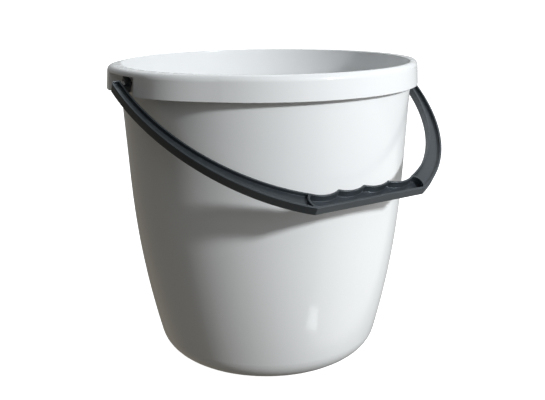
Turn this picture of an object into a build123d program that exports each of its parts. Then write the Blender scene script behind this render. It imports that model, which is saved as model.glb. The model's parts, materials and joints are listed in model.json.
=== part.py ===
from build123d import *
import math
import os

# A round moulded pail with a turned-over rim and a swinging bail handle, in two pieces.
# Millimetres. The origin is the centre of the base, on the ground, with +Z up.
# The bail turns about a line along X and rests on the -Y side.

# ---- driving dimensions: pail ----
HEIGHT = 268.0              # ground to the crest of the rim
WALL = 2.0                  # wall thickness
BASE_THICKNESS = 2.0
UPPER_RADIUS = 128.2        # outside of the wall at the foot of the rim skirt
UPPER_DRAFT = 0.05          # radius lost per millimetre of depth on the straight upper wall
BELLY_HEIGHT = 165.0        # below this the wall curves inwards
BELLY_CURVE = 760.0         # radius of that long curve
CORNER_TOP = 20.0           # height where the rounded bottom corner starts
FOOT_WIDTH = 9.0            # width of the flat ring the pail stands on
FOOT_RECESS = 1.2           # how far the base is raised inside that ring

# ---- driving dimensions: rim ----
SKIRT_HEIGHT = 19.7         # crest to the skirt's lower edge
SKIRT_RADIUS = 134.4        # outside of the skirt at its lower edge
SKIRT_TAPER = 1.0           # radius lost between the lower edge and the crest
SKIRT_THICKNESS = 2.0
CREST_ROUND = 5.0           # outer rounding of the crest
LIP_ROUND = 1.1             # inner rounding of the crest
EAR_BULGE_FOOT = 5.6        # extra radius at the two ears, at the skirt's lower edge
EAR_BULGE_CREST = 5.0       # extra radius at the two ears, at the crest
EAR_FULL = 16.0             # degrees each side of a pivot that keep the whole bulge
EAR_END = 44.0              # degrees from a pivot where the bulge has faded out

# ---- driving dimensions: pivots ----
PIVOT_HEIGHT = 255.0
WINDOW_HALF_WIDTH = 25.5    # half of the window in the skirt that each arm swings in
WINDOW_RISE = 8.2           # pivot line to the window's upper edge
WINDOW_SIDE = 1.8           # walls that close the hollow rim at the window's sides
SEAT_X = 129.4              # flat face of the pad that the lug turns against
SEAT_HALF_WIDTH = 6.5
STOP_X = 131.4              # outer face of the stop above the pad
STUD_RADIUS = 2.6
STUD_HEAD_RADIUS = 3.1
STUD_HEAD_LENGTH = 4.6
STUD_HEAD_ROUND = 1.4
PIVOT_CLEARANCE = 0.1       # radial play of the lug on the stud
SIDE_PLAY = 0.3             # play of the lug along the stud, each side

# ---- driving dimensions: bail ----
REST_ANGLE = 30.0           # degrees below horizontal at which the bail rests
ARM_RISE = 4.25             # the bail's middle plane above the pivot line, square to the plane
ARM_INSIDE = 140.2          # half width of the bail inside the arms, at the pivots
ARM_WIDTH = 8.4             # arm width in the plane of the bail, at the pivots
ARM_END = 3.8               # pivot line to the square ends of the arms
ARM_END_ROUND = 5.0
INNER_REACH = 168.5         # reach of the inner edge's ellipse
OUTER_REACH = 185.5         # reach of the outer edge's ellipse
PALM_REACH = 173.4          # pivot line to the flat palm face of the grip
FINGER_REACH = 158.3        # pivot line to the tips between the finger hollows
PALM_ROUND = 2.0
TIP_ROUND = 1.5             # rounding of the tips between the finger hollows
FINGER_PITCH = 24.3
FINGER_DEPTH = 3.2
FINGERS = 4
BAIL_DEPTH = 7.2            # depth of the bail square to its plane
RAIL = 1.7                  # thickness of the two rails along each arm
WEB = 1.8                   # thickness of the web between the rails
GRIP_WALL = 1.7
GRIP_FLOOR = 1.6
GRIP_HALF_LENGTH = 46.5     # middle of the grip to the centres of its rounded ends
GRIP_END_ROUND = 9.3
LUG_THICKNESS = 4.6
LUG_HALF_DEPTH = 5.0
LUG_HEEL = 5.0              # lug beyond the stud's centre, away from the grip
LUG_FRONT = 7.2             # lug beyond the stud's centre, towards the grip
LUG_NECK_HALF_DEPTH = 3.0   # half depth of the lug's front, which passes under the window's edge
STOP_GAP = 0.1              # left between the lug's heel and the stop at rest
SOFT_EDGE = 0.4             # rounding of the bail's long edges

# ---- worked out from the above ----
SKIRT_FOOT = HEIGHT - SKIRT_HEIGHT
FLOOR_TOP = FOOT_RECESS + BASE_THICKNESS
LUG_X = SEAT_X + SIDE_PLAY
LUG_OUTER_X = LUG_X + LUG_THICKNESS
ARM_OUTSIDE = ARM_INSIDE + ARM_WIDTH
# the heel of each lug meets the stop when the bail is at its rest angle
HEEL_RISE = (LUG_HEEL * math.sin(math.radians(REST_ANGLE))
             + LUG_HALF_DEPTH * math.cos(math.radians(REST_ANGLE)))
STOP_HEIGHT = PIVOT_HEIGHT + HEEL_RISE + STOP_GAP


def polar(radius, degrees):
    """Point at a radius and an angle from the +X axis."""
    return (radius * math.cos(math.radians(degrees)), radius * math.sin(math.radians(degrees)))


# ---------------------------------------------------------------- pail
def rim_face(radius, bulge, height):
    """Plan of the rim: a circle that swells into an ear at each end of the X axis."""
    edges = []
    for side in (0, 180):
        ear = radius + bulge
        edges.append(CenterArc((0, 0), ear, side - EAR_FULL, 2 * EAR_FULL))
        edges.append(ear_flank(ear, side + EAR_FULL, radius, side + EAR_END))
        edges.append(CenterArc((0, 0), radius, side + EAR_END, 180 - 2 * EAR_END))
        edges.append(ear_flank(radius, side + 180 - EAR_END, ear, side + 180 - EAR_FULL))
    return Pos(0, 0, height) * make_face(Wire(edges))


def ear_flank(start_radius, start_angle, end_radius, end_angle):
    """Smooth curve between two radii, square to both of them at its ends."""
    tangents = [polar(1, start_angle + 90), polar(1, end_angle + 90)]
    return Spline(polar(start_radius, start_angle), polar(end_radius, end_angle), tangents=tangents)


def pail_outline(inset):
    """Half outline of the pail's wall, moved in by inset, from the crest down to the axis."""
    lean = math.atan(UPPER_DRAFT)
    belly_radius = UPPER_RADIUS - UPPER_DRAFT * (SKIRT_FOOT - BELLY_HEIGHT)
    belly_start = (belly_radius - inset * math.cos(lean), BELLY_HEIGHT + inset * math.sin(lean))
    crest_start = (belly_start[0] + UPPER_DRAFT * (HEIGHT - belly_start[1]), HEIGHT)
    # the long curve turns the wall from its upper lean to its lean above the bottom corner
    corner_lean = math.asin(math.sin(lean) + (BELLY_HEIGHT - CORNER_TOP) / BELLY_CURVE)
    corner_radius = CORNER_TOP / (1 - math.sin(corner_lean))
    down = (-math.sin(lean), -math.cos(lean))
    upper = Line(crest_start, belly_start)
    belly = JernArc(belly_start, down, BELLY_CURVE - inset, -math.degrees(corner_lean - lean))
    corner = JernArc(belly @ 1, belly % 1, corner_radius - inset, math.degrees(corner_lean) - 90)
    return [upper, belly, corner]


def pail_solid(inset):
    """Solid of revolution inside the pail's wall outline moved in by inset."""
    outline = pail_outline(inset)
    foot = outline[-1] @ 1
    outline.append(Line(foot, (0, foot.Y)))
    outline.append(Line((0, foot.Y), (0, HEIGHT)))
    outline.append(Line((0, HEIGHT), outline[0] @ 0))
    return revolve(Plane.XZ * make_face(Wire(outline)), Axis.Z)


def rim_solid(inset, crest_round):
    """The rim's block: its plan lofted from the skirt's lower edge to the crest, rounded outside."""
    top = HEIGHT - inset
    lower = rim_face(SKIRT_RADIUS - inset, EAR_BULGE_FOOT, SKIRT_FOOT)
    upper = rim_face(SKIRT_RADIUS - SKIRT_TAPER - inset, EAR_BULGE_CREST, top)
    block = loft([lower, upper])
    return fillet(block.faces().sort_by(Axis.Z)[-1].edges(), crest_round)


def both_ends(piece):
    """The piece modelled at the +X pivot, with its turned copy at the -X pivot."""
    return piece + Rot(0, 0, 180) * piece


def ear_block(inner_x, outer_x, inner_y, outer_y, foot, top):
    """Upright block at the +X ear, between two distances along X, two along Y and two heights."""
    return Pos(inner_x, inner_y, foot) * Box(outer_x - inner_x, outer_y - inner_y, top - foot,
                                             align=(Align.MIN, Align.MIN, Align.MIN))


def stud():
    """Moulded stud on the +X seat: a neck that the lug turns on, and a rounded snap head."""
    neck_length = LUG_THICKNESS + 2 * SIDE_PLAY
    along = (Align.CENTER, Align.CENTER, Align.MIN)
    neck = Cylinder(STUD_RADIUS, neck_length, align=along)
    head = Pos(0, 0, neck_length) * Cylinder(STUD_HEAD_RADIUS, STUD_HEAD_LENGTH, align=along)
    head = fillet(head.edges().sort_by(Axis.Z)[-1], STUD_HEAD_ROUND)
    return Pos(SEAT_X, 0, PIVOT_HEIGHT) * Rot(0, 90, 0) * (neck + head)


def pail():
    """The whole pail in one moulding."""
    wall = pail_solid(0)
    rim = rim_solid(0, CREST_ROUND)
    hollow = rim_solid(SKIRT_THICKNESS, CREST_ROUND - SKIRT_THICKNESS) - wall
    for side in (-1, 1):
        near = side * WINDOW_HALF_WIDTH
        far = side * (WINDOW_HALF_WIDTH + WINDOW_SIDE)
        hollow -= both_ends(ear_block(0, ARM_OUTSIDE, min(near, far), max(near, far), 0, HEIGHT))
    window = ear_block(STOP_X, ARM_OUTSIDE, -WINDOW_HALF_WIDTH, WINDOW_HALF_WIDTH, 0,
                       PIVOT_HEIGHT + WINDOW_RISE)
    body = wall + (rim - hollow - both_ends(window))
    # the flat pad behind each lug, and the stop above it
    inside_wall = UPPER_RADIUS - WALL
    under_crest = HEIGHT - SKIRT_THICKNESS / 2
    pad = ear_block(inside_wall, SEAT_X, -SEAT_HALF_WIDTH, SEAT_HALF_WIDTH, SKIRT_FOOT, under_crest)
    stop = ear_block(inside_wall, STOP_X, -SEAT_HALF_WIDTH, SEAT_HALF_WIDTH, STOP_HEIGHT,
                     under_crest)
    body += both_ends(pad + stop)
    floor = Pos(0, 0, FLOOR_TOP / 2) * Cylinder(UPPER_RADIUS, FLOOR_TOP)
    body -= pail_solid(WALL) - floor
    recess_radius = (pail_outline(0)[-1] @ 1).X - FOOT_WIDTH
    body -= Cylinder(recess_radius, 2 * FOOT_RECESS)
    lip = body.edges().filter_by(GeomType.CIRCLE).group_by(Axis.Z)[-1].sort_by(SortBy.RADIUS)[0]
    body = fillet(lip, LIP_ROUND)
    return body + both_ends(stud())


# ---------------------------------------------------------------- bail
# The bail is drawn flat: X along the pivot line, -Y towards the grip, Z square to its plane.
def half_ellipse(half_width, reach, cut):
    """Half ellipse on the grip's side of the pivot line, cut off square at a given reach."""
    keep = Pos(0, -ARM_END) * Rectangle(2 * half_width, cut - ARM_END,
                                        align=(Align.CENTER, Align.MAX))
    return Ellipse(half_width, reach) & keep


def outer_plan(inset):
    """Plan inside the bail's outer edge, moved in by inset."""
    return half_ellipse(ARM_OUTSIDE - inset, OUTER_REACH - inset, PALM_REACH - inset)


def inner_plan(outset):
    """Plan of the opening inside the bail, finger hollows included, grown by outset."""
    plan = half_ellipse(ARM_INSIDE + outset, INNER_REACH + outset, FINGER_REACH + outset)
    radius = (FINGER_PITCH ** 2 / 4 + FINGER_DEPTH ** 2) / (2 * FINGER_DEPTH)
    centre_reach = FINGER_REACH + FINGER_DEPTH - radius
    for finger in range(FINGERS):
        offset_x = (finger - (FINGERS - 1) / 2) * FINGER_PITCH
        plan += Pos(offset_x, -centre_reach) * Circle(radius + outset)
    return plan


def arms_plan():
    """Plan of the arms and the grip together, with the outer corner of each arm's end rounded."""
    plan = outer_plan(0) - inner_plan(0)
    ends = plan.vertices().group_by(Axis.Y)[-1].sort_by(Axis.X)
    return fillet([ends[0], ends[-1]], ARM_END_ROUND)


def grip_plan(inset):
    """Plan of the grip's block: rounded at both ends and moved in by inset."""
    middle = (FINGER_REACH + PALM_REACH) / 2
    plan = Pos(0, -middle) * Rectangle(2 * GRIP_HALF_LENGTH, 4 * GRIP_END_ROUND)
    for side in (-1, 1):
        plan += Pos(side * GRIP_HALF_LENGTH, -middle) * Circle(GRIP_END_ROUND - inset)
    return plan


def slab(plan, lower, upper):
    """A plan extruded between two depths."""
    return Pos(0, 0, lower) * extrude(plan, upper - lower)


def lug_block(inner_x, outer_x, heel, front, lower, upper):
    """Block at both ends of the bail, from heel to front along the arm and between two depths."""
    return both_sides(Pos(inner_x, heel, lower) * Box(outer_x - inner_x, heel + front,
                                                      upper - lower,
                                                      align=(Align.MIN, Align.MAX, Align.MIN)))


def both_sides(piece):
    """The piece modelled on the +X side, with its mirror image on the -X side."""
    return piece + mirror(piece, Plane.YZ)


def bail():
    """The whole bail in one moulding, drawn flat with the pivot line through the origin."""
    bottom = ARM_RISE - BAIL_DEPTH / 2
    top = ARM_RISE + BAIL_DEPTH / 2
    body = slab(arms_plan(), bottom, top)
    tips = body.edges().filter_by(Axis.Z).filter_by_position(Axis.Y, -FINGER_REACH - 1,
                                                             -FINGER_REACH + 1)
    body = fillet(tips, TIP_ROUND)
    body = fillet(body.edges().filter_by(Axis.Z).group_by(Axis.Y)[0], PALM_ROUND)
    body = fillet(body.edges().group_by(Axis.Z)[-1] + body.edges().group_by(Axis.Z)[0], SOFT_EDGE)
    # grooves on both faces of the arms, either side of the web
    inside_rails = outer_plan(RAIL) - inner_plan(RAIL)
    beside_ends = Pos(0, -ARM_END) * Rectangle(2 * ARM_OUTSIDE, 2 * RAIL)
    grooves = inside_rails - grip_plan(0) - beside_ends
    body -= slab(grooves, ARM_RISE + WEB / 2, top)
    body -= slab(grooves, bottom, ARM_RISE - WEB / 2)
    # trough of the grip, open upwards
    trough = (outer_plan(GRIP_WALL) - inner_plan(GRIP_WALL)) & grip_plan(GRIP_WALL)
    body -= slab(trough, bottom + GRIP_FLOOR, top)
    # lugs that turn on the studs, and the low necks that join them to the arms
    lugs = lug_block(LUG_X, LUG_OUTER_X, LUG_HEEL, ARM_END, -LUG_HALF_DEPTH, LUG_HALF_DEPTH)
    necks = lug_block(STOP_X + SIDE_PLAY, ARM_INSIDE + RAIL, -ARM_END, LUG_FRONT, bottom,
                      LUG_NECK_HALF_DEPTH)
    bore = Rot(0, 90, 0) * Cylinder(STUD_RADIUS + PIVOT_CLEARANCE, 2 * LUG_OUTER_X)
    return body + (lugs + necks - bore)


def main():
    os.makedirs("parts", exist_ok=True)
    export_step(pail(), "parts/bucket_body.step")
    resting_bail = Pos(0, 0, PIVOT_HEIGHT) * Rot(REST_ANGLE, 0, 0) * bail()
    export_step(resting_bail, "parts/bail_handle.step")


main()
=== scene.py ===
import json
import math

import bpy
from mathutils import Matrix, Vector

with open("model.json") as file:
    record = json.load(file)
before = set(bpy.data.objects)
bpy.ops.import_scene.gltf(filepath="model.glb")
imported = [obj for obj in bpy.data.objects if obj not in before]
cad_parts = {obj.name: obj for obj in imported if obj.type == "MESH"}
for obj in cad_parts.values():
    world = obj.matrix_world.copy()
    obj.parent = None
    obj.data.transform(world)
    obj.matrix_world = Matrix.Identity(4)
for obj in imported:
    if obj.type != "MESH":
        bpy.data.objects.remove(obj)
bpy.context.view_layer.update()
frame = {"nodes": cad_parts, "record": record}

# Metres and radians, except where a comment says degrees. The azimuth of a lamp or glow is in
# degrees about the bucket: 0 is towards the camera, and 90 is to the right in the camera's view.

# ---- camera ----
CAMERA_AZIMUTH = math.radians(-32)
CAMERA_DISTANCE = 0.6787    # from the bucket's axis, along the ground
CAMERA_HEIGHT = 0.3259
CAMERA_PITCH = 0.2703       # how far the camera looks down
CAMERA_PAN = 0.0077         # how far it looks to the right of the bucket's axis
CAMERA_ROLL = 0.0091
CAMERA_LENS = 49.54         # millimetres
CLIP_NEAR = 0.02
CLIP_FAR = 200

# ---- light ----
WHITE_LIGHT = (0.955, 0.985, 1.0)
WARM_FILL = (1.0, 0.90, 0.74)
TABLE_LIGHT = (1.0, 0.98, 0.94)
AMBIENT = 0.01
GLOW_SHARPNESS = 7.0        # a larger number makes each glow smaller
# Each glow is an azimuth and an elevation in degrees, a strength, and a colour.
GLOWS = [
    (45, 28, 0.7, WHITE_LIGHT),
    (155, 45, 0.7, WHITE_LIGHT),
    (188, 38, 1.2, WHITE_LIGHT),
    (0, 38, 0.33, WHITE_LIGHT),
    (135, -18, 0.4, WHITE_LIGHT),
    (225, -35, 0.3, WARM_FILL),
    (325, -55, 0.22, WARM_FILL),
]
BUCKET_MIDDLE = Vector((0, 0, 0.15))    # the point that the key lamp faces
TABLE_AZIMUTH = 45          # direction of the bright table's left edge, in degrees
TABLE_LIFT = 0.001          # height of the table's light above the floor

# ---- surroundings ----
STAGE_HALF = 12.0           # from the bucket to the walls of the pale surroundings
PAPER_COLOURS = (0.88, 0.88, 0.88, 1), (0.9, 0.9, 0.9, 1)
PAPER_ROUGHNESS = 0.9
PAPER_GLOW = 0.95

# ---- plastics ----
CLOUDS_LOW, CLOUDS_HIGH = 0.3, 0.7      # nearly all of a noise pattern lies between these

# ---- white plastic ----
WHITE_COLOURS = (0.865, 0.873, 0.883, 1), (0.895, 0.902, 0.908, 1)
DUST_COLOUR = (0.60, 0.60, 0.58, 1)
SCUFF_COLOUR = (0.50, 0.49, 0.46, 1)
WHITE_ROUGHNESS = 0.13, 0.19
WHITE_IOR = 1.49
WHITE_EDGE_ROUND = 0.0006
FOOT_SCUFF_HEIGHT = 0.014   # scuffs reach this high above the floor
FOOT_SCUFF_FULL = 0.001     # and are complete below this
CREST_HEIGHT = frame["record"]["behaviour"]["joints"][0]["pos_m"][2] + 0.008
CREST_FADE = 0.005

# ---- dark plastic ----
DARK_COLOURS = (0.0190, 0.0235, 0.0290, 1), (0.0280, 0.0335, 0.0400, 1)
STREAK_COLOUR = (0.040, 0.046, 0.053, 1)
# Paler colour along the bail's edges: partly rubbed wear and partly a painted highlight.
WORN_AND_HIGHLIGHT_COLOUR = (0.060, 0.064, 0.070, 1)
SCRATCH_COLOUR = (0.050, 0.053, 0.058, 1)
DARK_ROUGHNESS = 0.33, 0.42
DARK_IOR = 1.8              # above polypropylene's 1.49, for stronger reflections
REFLECTION_TINT = (0.84, 0.94, 1.0, 1)  # the bail's reflections lean towards blue
DARK_EDGE_ROUND = 0.0007
EDGE_BEND = 0.985, 0.80     # cosines between which a bent normal counts as an edge


# ---------------------------------------------------------------- node helpers
def put(tree, socket, value):
    """Feeds a node's input from another node's socket, or sets it to a plain value."""
    if isinstance(value, bpy.types.NodeSocket):
        tree.links.new(value, socket)
    else:
        socket.default_value = value


def maths(tree, operation, *values):
    node = tree.nodes.new("ShaderNodeMath")
    node.operation = operation
    for socket, value in zip(node.inputs, values):
        put(tree, socket, value)
    return node.outputs[0]


def remap(tree, value, low, high, new_low=0.0, new_high=1.0):
    """Carries the range low to high over to new_low to new_high, and holds it there outside."""
    node = tree.nodes.new("ShaderNodeMapRange")
    node.interpolation_type = "SMOOTHSTEP"
    for socket, number in zip(node.inputs, (value, low, high, new_low, new_high)):
        put(tree, socket, number)
    return node.outputs["Result"]


def noise(tree, place, scale, stretch=(1, 1, 1), detail=3, roughness=0.5):
    """Noise over the object's own space, with scale in features per metre.

    A stretch below 1 draws the pattern out along that axis, and one above 1 squeezes it.
    """
    mapping = tree.nodes.new("ShaderNodeMapping")
    put(tree, mapping.inputs["Vector"], place)
    mapping.inputs["Scale"].default_value = stretch
    node = tree.nodes.new("ShaderNodeTexNoise")
    put(tree, node.inputs["Vector"], mapping.outputs["Vector"])
    node.inputs["Scale"].default_value = scale
    node.inputs["Detail"].default_value = detail
    node.inputs["Roughness"].default_value = roughness
    return node.outputs["Fac"]


def blend_colours(tree, amount, first, second):
    node = tree.nodes.new("ShaderNodeMix")
    node.data_type = "RGBA"
    put(tree, node.inputs["Factor"], amount)
    put(tree, node.inputs["A"], first)
    put(tree, node.inputs["B"], second)
    return node.outputs["Result"]


def stain(tree, colour, *stains):
    """Lays stains over a colour; each is a mask, a strength from 0 to 1 and the stain's own colour."""
    for mask, strength, tint in stains:
        colour = blend_colours(tree, maths(tree, "MULTIPLY", mask, strength), colour, tint)
    return colour


def wear(tree, roughness, *marks):
    """Changes a roughness where there are marks; each is a mask and the amount that it adds."""
    for mask, amount in marks:
        roughness = maths(tree, "MULTIPLY_ADD", mask, amount, roughness)
    return roughness


def emboss(tree, normal, *reliefs):
    """Lays bumps over a normal; each is a pattern, its height in metres and a strength from 0 to 1."""
    for pattern, height, strength in reliefs:
        node = tree.nodes.new("ShaderNodeBump")
        node.inputs["Distance"].default_value = height
        node.inputs["Strength"].default_value = strength
        put(tree, node.inputs["Height"], pattern)
        put(tree, node.inputs["Normal"], normal)
        normal = node.outputs["Normal"]
    return normal


def soft_edges(tree, radius):
    """A normal that turns smoothly over outer and inner edges within the radius."""
    node = tree.nodes.new("ShaderNodeBevel")
    node.samples = 6
    node.inputs["Radius"].default_value = radius
    return node.outputs["Normal"]


def edge_mask(tree, softened):
    """1 along outer and inner edges, where the softened normal leaves the surface's own."""
    geometry = tree.nodes.new("ShaderNodeNewGeometry")
    likeness = tree.nodes.new("ShaderNodeVectorMath")
    likeness.operation = "DOT_PRODUCT"
    put(tree, likeness.inputs[0], softened)
    put(tree, likeness.inputs[1], geometry.outputs["Normal"])
    return remap(tree, likeness.outputs["Value"], *EDGE_BEND)


def new_material(name):
    mat = bpy.data.materials.new(name)
    mat.use_nodes = True
    tree = mat.node_tree
    place = tree.nodes.new("ShaderNodeTexCoord").outputs["Object"]
    return mat, tree, tree.nodes["Principled BSDF"], place


# ---------------------------------------------------------------- plastics
def white_plastic():
    """Glossy white polypropylene: cool, slightly uneven, with fine scratches and a scuffed foot."""
    mat, tree, shader, place = new_material("bucket_white")
    height = tree.nodes.new("ShaderNodeSeparateXYZ")
    put(tree, height.inputs[0], place)
    z = height.outputs["Z"]

    clouds = noise(tree, place, scale=14, detail=4)
    draw_marks = noise(tree, place, scale=60, stretch=(1, 1, 0.04))
    ripples = noise(tree, place, scale=420, detail=2)
    specks = noise(tree, place, scale=900, detail=2)
    dust = remap(tree, specks, low=0.70, high=0.78)
    hairlines = noise(tree, place, scale=260, stretch=(1, 1, 7), detail=4, roughness=0.7)
    scratches = remap(tree, hairlines, low=0.66, high=0.74)

    grime = noise(tree, place, scale=120, detail=5, roughness=0.65)
    patchy = remap(tree, grime, low=0.42, high=0.62)
    foot = remap(tree, z, low=FOOT_SCUFF_HEIGHT, high=FOOT_SCUFF_FULL)
    scuffs = maths(tree, "MULTIPLY", foot, patchy)
    crest = remap(tree, z, low=CREST_HEIGHT, high=CREST_HEIGHT + CREST_FADE)
    rubbing = maths(tree, "MULTIPLY", crest, patchy)

    clean = blend_colours(tree, clouds, *WHITE_COLOURS)
    colour = stain(tree, clean, (dust, 0.25, DUST_COLOUR), (scuffs, 0.2, SCUFF_COLOUR))
    put(tree, shader.inputs["Base Color"], colour)

    glossy = remap(tree, clouds, CLOUDS_LOW, CLOUDS_HIGH, *WHITE_ROUGHNESS)
    roughness = wear(tree, glossy, (scratches, 0.08), (scuffs, 0.28), (rubbing, 0.12))
    put(tree, shader.inputs["Roughness"], roughness)

    nicks = maths(tree, "ADD", scratches, scuffs)
    smooth = soft_edges(tree, WHITE_EDGE_ROUND)
    normal = emboss(tree, smooth, (draw_marks, 0.0004, 0.25), (ripples, 0.00003, 0.35),
                    (nicks, 0.00004, 0.4))
    put(tree, shader.inputs["Normal"], normal)
    shader.inputs["IOR"].default_value = WHITE_IOR
    return mat


def dark_plastic():
    """Satin anthracite polypropylene: fine moulded grain, and edges that are paler and smoother where
    rubbed; the paler edge colour is partly rubbed wear and partly a painted highlight.
    """
    mat, tree, shader, place = new_material("bail_anthracite")
    clouds = noise(tree, place, scale=45, detail=4)
    grain = noise(tree, place, scale=1500, detail=2, roughness=0.6)
    flow = noise(tree, place, scale=160, stretch=(0.12, 1, 1), detail=4)
    streaks = remap(tree, flow, low=0.5, high=0.8)
    hairlines = noise(tree, place, scale=300, stretch=(8, 1, 1), detail=4, roughness=0.7)
    scratches = remap(tree, hairlines, low=0.66, high=0.72)

    smooth = soft_edges(tree, DARK_EDGE_ROUND)
    patchy = remap(tree, clouds, low=0.3, high=0.6, new_low=0.3)
    # Mask for the paler edges: partly rubbed wear and partly a painted highlight along the rails.
    worn_and_highlit_edges = maths(tree, "MULTIPLY", edge_mask(tree, smooth), patchy)

    clean = blend_colours(tree, clouds, *DARK_COLOURS)
    colour = stain(tree, clean, (streaks, 0.5, STREAK_COLOUR), (worn_and_highlit_edges, 0.55, WORN_AND_HIGHLIGHT_COLOUR),
                   (scratches, 0.35, SCRATCH_COLOUR))
    put(tree, shader.inputs["Base Color"], colour)

    satin = remap(tree, flow, CLOUDS_LOW, CLOUDS_HIGH, *DARK_ROUGHNESS)
    roughness = wear(tree, satin, (grain, 0.06), (worn_and_highlit_edges, -0.06))
    put(tree, shader.inputs["Roughness"], roughness)

    normal = emboss(tree, smooth, (flow, 0.00025, 0.3), (grain, 0.00005, 0.35),
                    (scratches, 0.00003, 0.4))
    put(tree, shader.inputs["Normal"], normal)
    shader.inputs["IOR"].default_value = DARK_IOR
    shader.inputs["Specular Tint"].default_value = REFLECTION_TINT
    return mat


def dress(node, mat):
    """Gives a CAD node its material."""
    obj = frame["nodes"][node]
    obj.data.materials.clear()
    obj.data.materials.append(mat)


# ---------------------------------------------------------------- camera
def make_camera():
    """The camera stands at the front left, a little above the rim, and looks down at the bucket."""
    position = Vector((
        CAMERA_DISTANCE * math.sin(CAMERA_AZIMUTH),
        -CAMERA_DISTANCE * math.cos(CAMERA_AZIMUTH),
        CAMERA_HEIGHT,
    ))
    heading = Vector((-math.sin(CAMERA_AZIMUTH), math.cos(CAMERA_AZIMUTH), 0))
    heading.rotate(Matrix.Rotation(-CAMERA_PAN, 3, "Z"))
    forward = heading * math.cos(CAMERA_PITCH) - Vector((0, 0, math.sin(CAMERA_PITCH)))
    right = forward.cross(Vector((0, 0, 1))).normalized()
    up = right.cross(forward)
    tilted_right = right * math.cos(CAMERA_ROLL) - up * math.sin(CAMERA_ROLL)
    tilted_up = up * math.cos(CAMERA_ROLL) + right * math.sin(CAMERA_ROLL)
    turn = Matrix((tilted_right, tilted_up, -forward)).transposed().to_4x4()

    camera = bpy.data.objects.new("camera", bpy.data.cameras.new("camera"))
    camera.matrix_world = Matrix.Translation(position) @ turn
    camera.data.lens = CAMERA_LENS
    camera.data.clip_start = CLIP_NEAR
    camera.data.clip_end = CLIP_FAR
    bpy.context.scene.collection.objects.link(camera)
    bpy.context.scene.camera = camera


# ---------------------------------------------------------------- light
def outward(azimuth, elevation):
    """The direction from the bucket at an azimuth and an elevation in degrees."""
    turn = CAMERA_AZIMUTH + math.radians(azimuth)
    rise = math.radians(elevation)
    return Vector((
        math.sin(turn) * math.cos(rise),
        -math.cos(turn) * math.cos(rise),
        math.sin(rise),
    ))


def area_lamp(name, size, power, colour, matrix):
    """A rectangular lamp that shines along its own -Z; size is its width and height."""
    data = bpy.data.lights.new(name, "AREA")
    data.shape = "RECTANGLE"
    data.size, data.size_y = size
    data.energy = power
    data.color = colour
    lamp = bpy.data.objects.new(name, data)
    lamp.matrix_world = matrix
    lamp.visible_camera = False
    bpy.context.scene.collection.objects.link(lamp)


def softbox(name, azimuth, elevation, distance, size, power, colour):
    """A lamp that faces the middle of the bucket; its power is in watts."""
    towards = outward(azimuth, elevation)
    turn = (-towards).to_track_quat("-Z", "Y").to_matrix().to_4x4()
    place = Matrix.Translation(BUCKET_MIDDLE + towards * distance)
    area_lamp(name, size, power, colour, place @ turn)


def table_glow(name, near, far, left, right, radiance, colour):
    """Light sent up by a part of the table; its long way runs along TABLE_AZIMUTH from near to far."""
    ahead = outward(TABLE_AZIMUTH, 0)
    aside = outward(TABLE_AZIMUTH + 90, 0)
    centre = ahead * (near + far) / 2 + aside * (left + right) / 2 + Vector((0, 0, TABLE_LIFT))
    turn = Matrix((ahead, -aside, (0, 0, -1))).transposed().to_4x4()
    size = (far - near, right - left)
    power = radiance * math.pi * size[0] * size[1]
    area_lamp(name, size, power, colour, Matrix.Translation(centre) @ turn)


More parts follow.
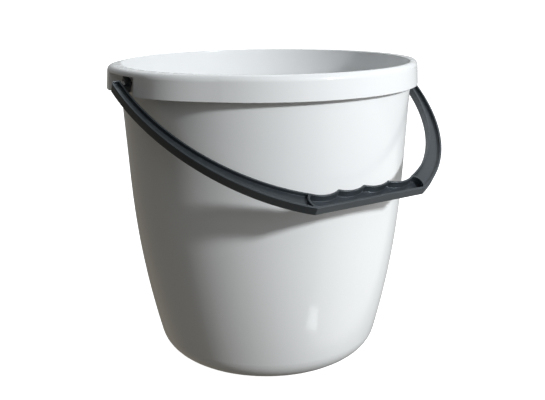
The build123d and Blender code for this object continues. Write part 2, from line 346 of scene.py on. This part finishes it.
def make_world():
    """Dim warm surroundings with broad soft glows, which leave the front left dark."""
    world = bpy.data.worlds.new("studio")
    world.use_nodes = True
    tree = world.node_tree
    direction = tree.nodes.new("ShaderNodeTexCoord").outputs["Generated"]
    total = Vector(WARM_FILL) * AMBIENT
    for azimuth, elevation, strength, colour in GLOWS:
        facing = tree.nodes.new("ShaderNodeVectorMath")
        facing.operation = "DOT_PRODUCT"
        put(tree, facing.inputs[0], direction)
        put(tree, facing.inputs[1], outward(azimuth, elevation))
        away = maths(tree, "SUBTRACT", facing.outputs["Value"], 1.0)
        glow = maths(tree, "EXPONENT", maths(tree, "MULTIPLY", away, GLOW_SHARPNESS))
        tinted = tree.nodes.new("ShaderNodeVectorMath")
        tinted.operation = "MULTIPLY_ADD"
        put(tree, tinted.inputs[0], glow)
        put(tree, tinted.inputs[1], Vector(colour) * strength)
        put(tree, tinted.inputs[2], total)
        total = tinted.outputs["Vector"]
    put(tree, tree.nodes["Background"].inputs["Color"], total)
    bpy.context.scene.world = world


# ---------------------------------------------------------------- surroundings
def stage_piece(name, points, faces, mat):
    """A piece of the set that only the camera sees, so it neither lights nor shades the bucket."""
    mesh = bpy.data.meshes.new(name)
    mesh.from_pydata(points, [], faces)
    mesh.materials.append(mat)
    piece = bpy.data.objects.new(name, mesh)
    piece.visible_diffuse = False
    piece.visible_glossy = False
    piece.visible_shadow = False
    bpy.context.scene.collection.objects.link(piece)


def make_surroundings():
    """A pale floor, and a pale box of four walls and a ceiling around it."""
    mat, tree, shader, place = new_material("floor_paper")
    paper = noise(tree, place, 30, detail=2)
    put(tree, shader.inputs["Base Color"], blend_colours(tree, paper, *PAPER_COLOURS))
    shader.inputs["Roughness"].default_value = PAPER_ROUGHNESS
    shader.inputs["Emission Color"].default_value = (1, 1, 1, 1)
    shader.inputs["Emission Strength"].default_value = PAPER_GLOW
    square = [(x * STAGE_HALF, y * STAGE_HALF) for x, y in ((-1, -1), (1, -1), (1, 1), (-1, 1))]
    low = [(x, y, 0) for x, y in square]
    high = [(x, y, STAGE_HALF) for x, y in square]
    walls = [(i, (i + 1) % 4, (i + 1) % 4 + 4, i + 4) for i in range(4)]
    ceiling = (4, 5, 6, 7)
    stage_piece("floor", low, [(0, 1, 2, 3)], mat)
    stage_piece("backdrop", low + high, walls + [ceiling], mat)


def studio():
    """One key lamp from the right, light from the table in front, soft glows all round."""
    bpy.context.scene.view_settings.view_transform = "Standard"
    make_world()
    make_surroundings()
    softbox("key", azimuth=49, elevation=26, distance=1.6, size=(0.14, 0.14), power=19.0, colour=WHITE_LIGHT)
    table_glow("table", near=0.13, far=1.2, left=-0.045, right=0.9, radiance=0.46, colour=TABLE_LIGHT)
    table_glow("table_glint", near=0.15, far=0.19, left=-0.055, right=-0.035, radiance=3.0,
               colour=WHITE_LIGHT)


make_camera()
studio()
dress("bucket_body", white_plastic())
dress("bail_handle", dark_plastic())
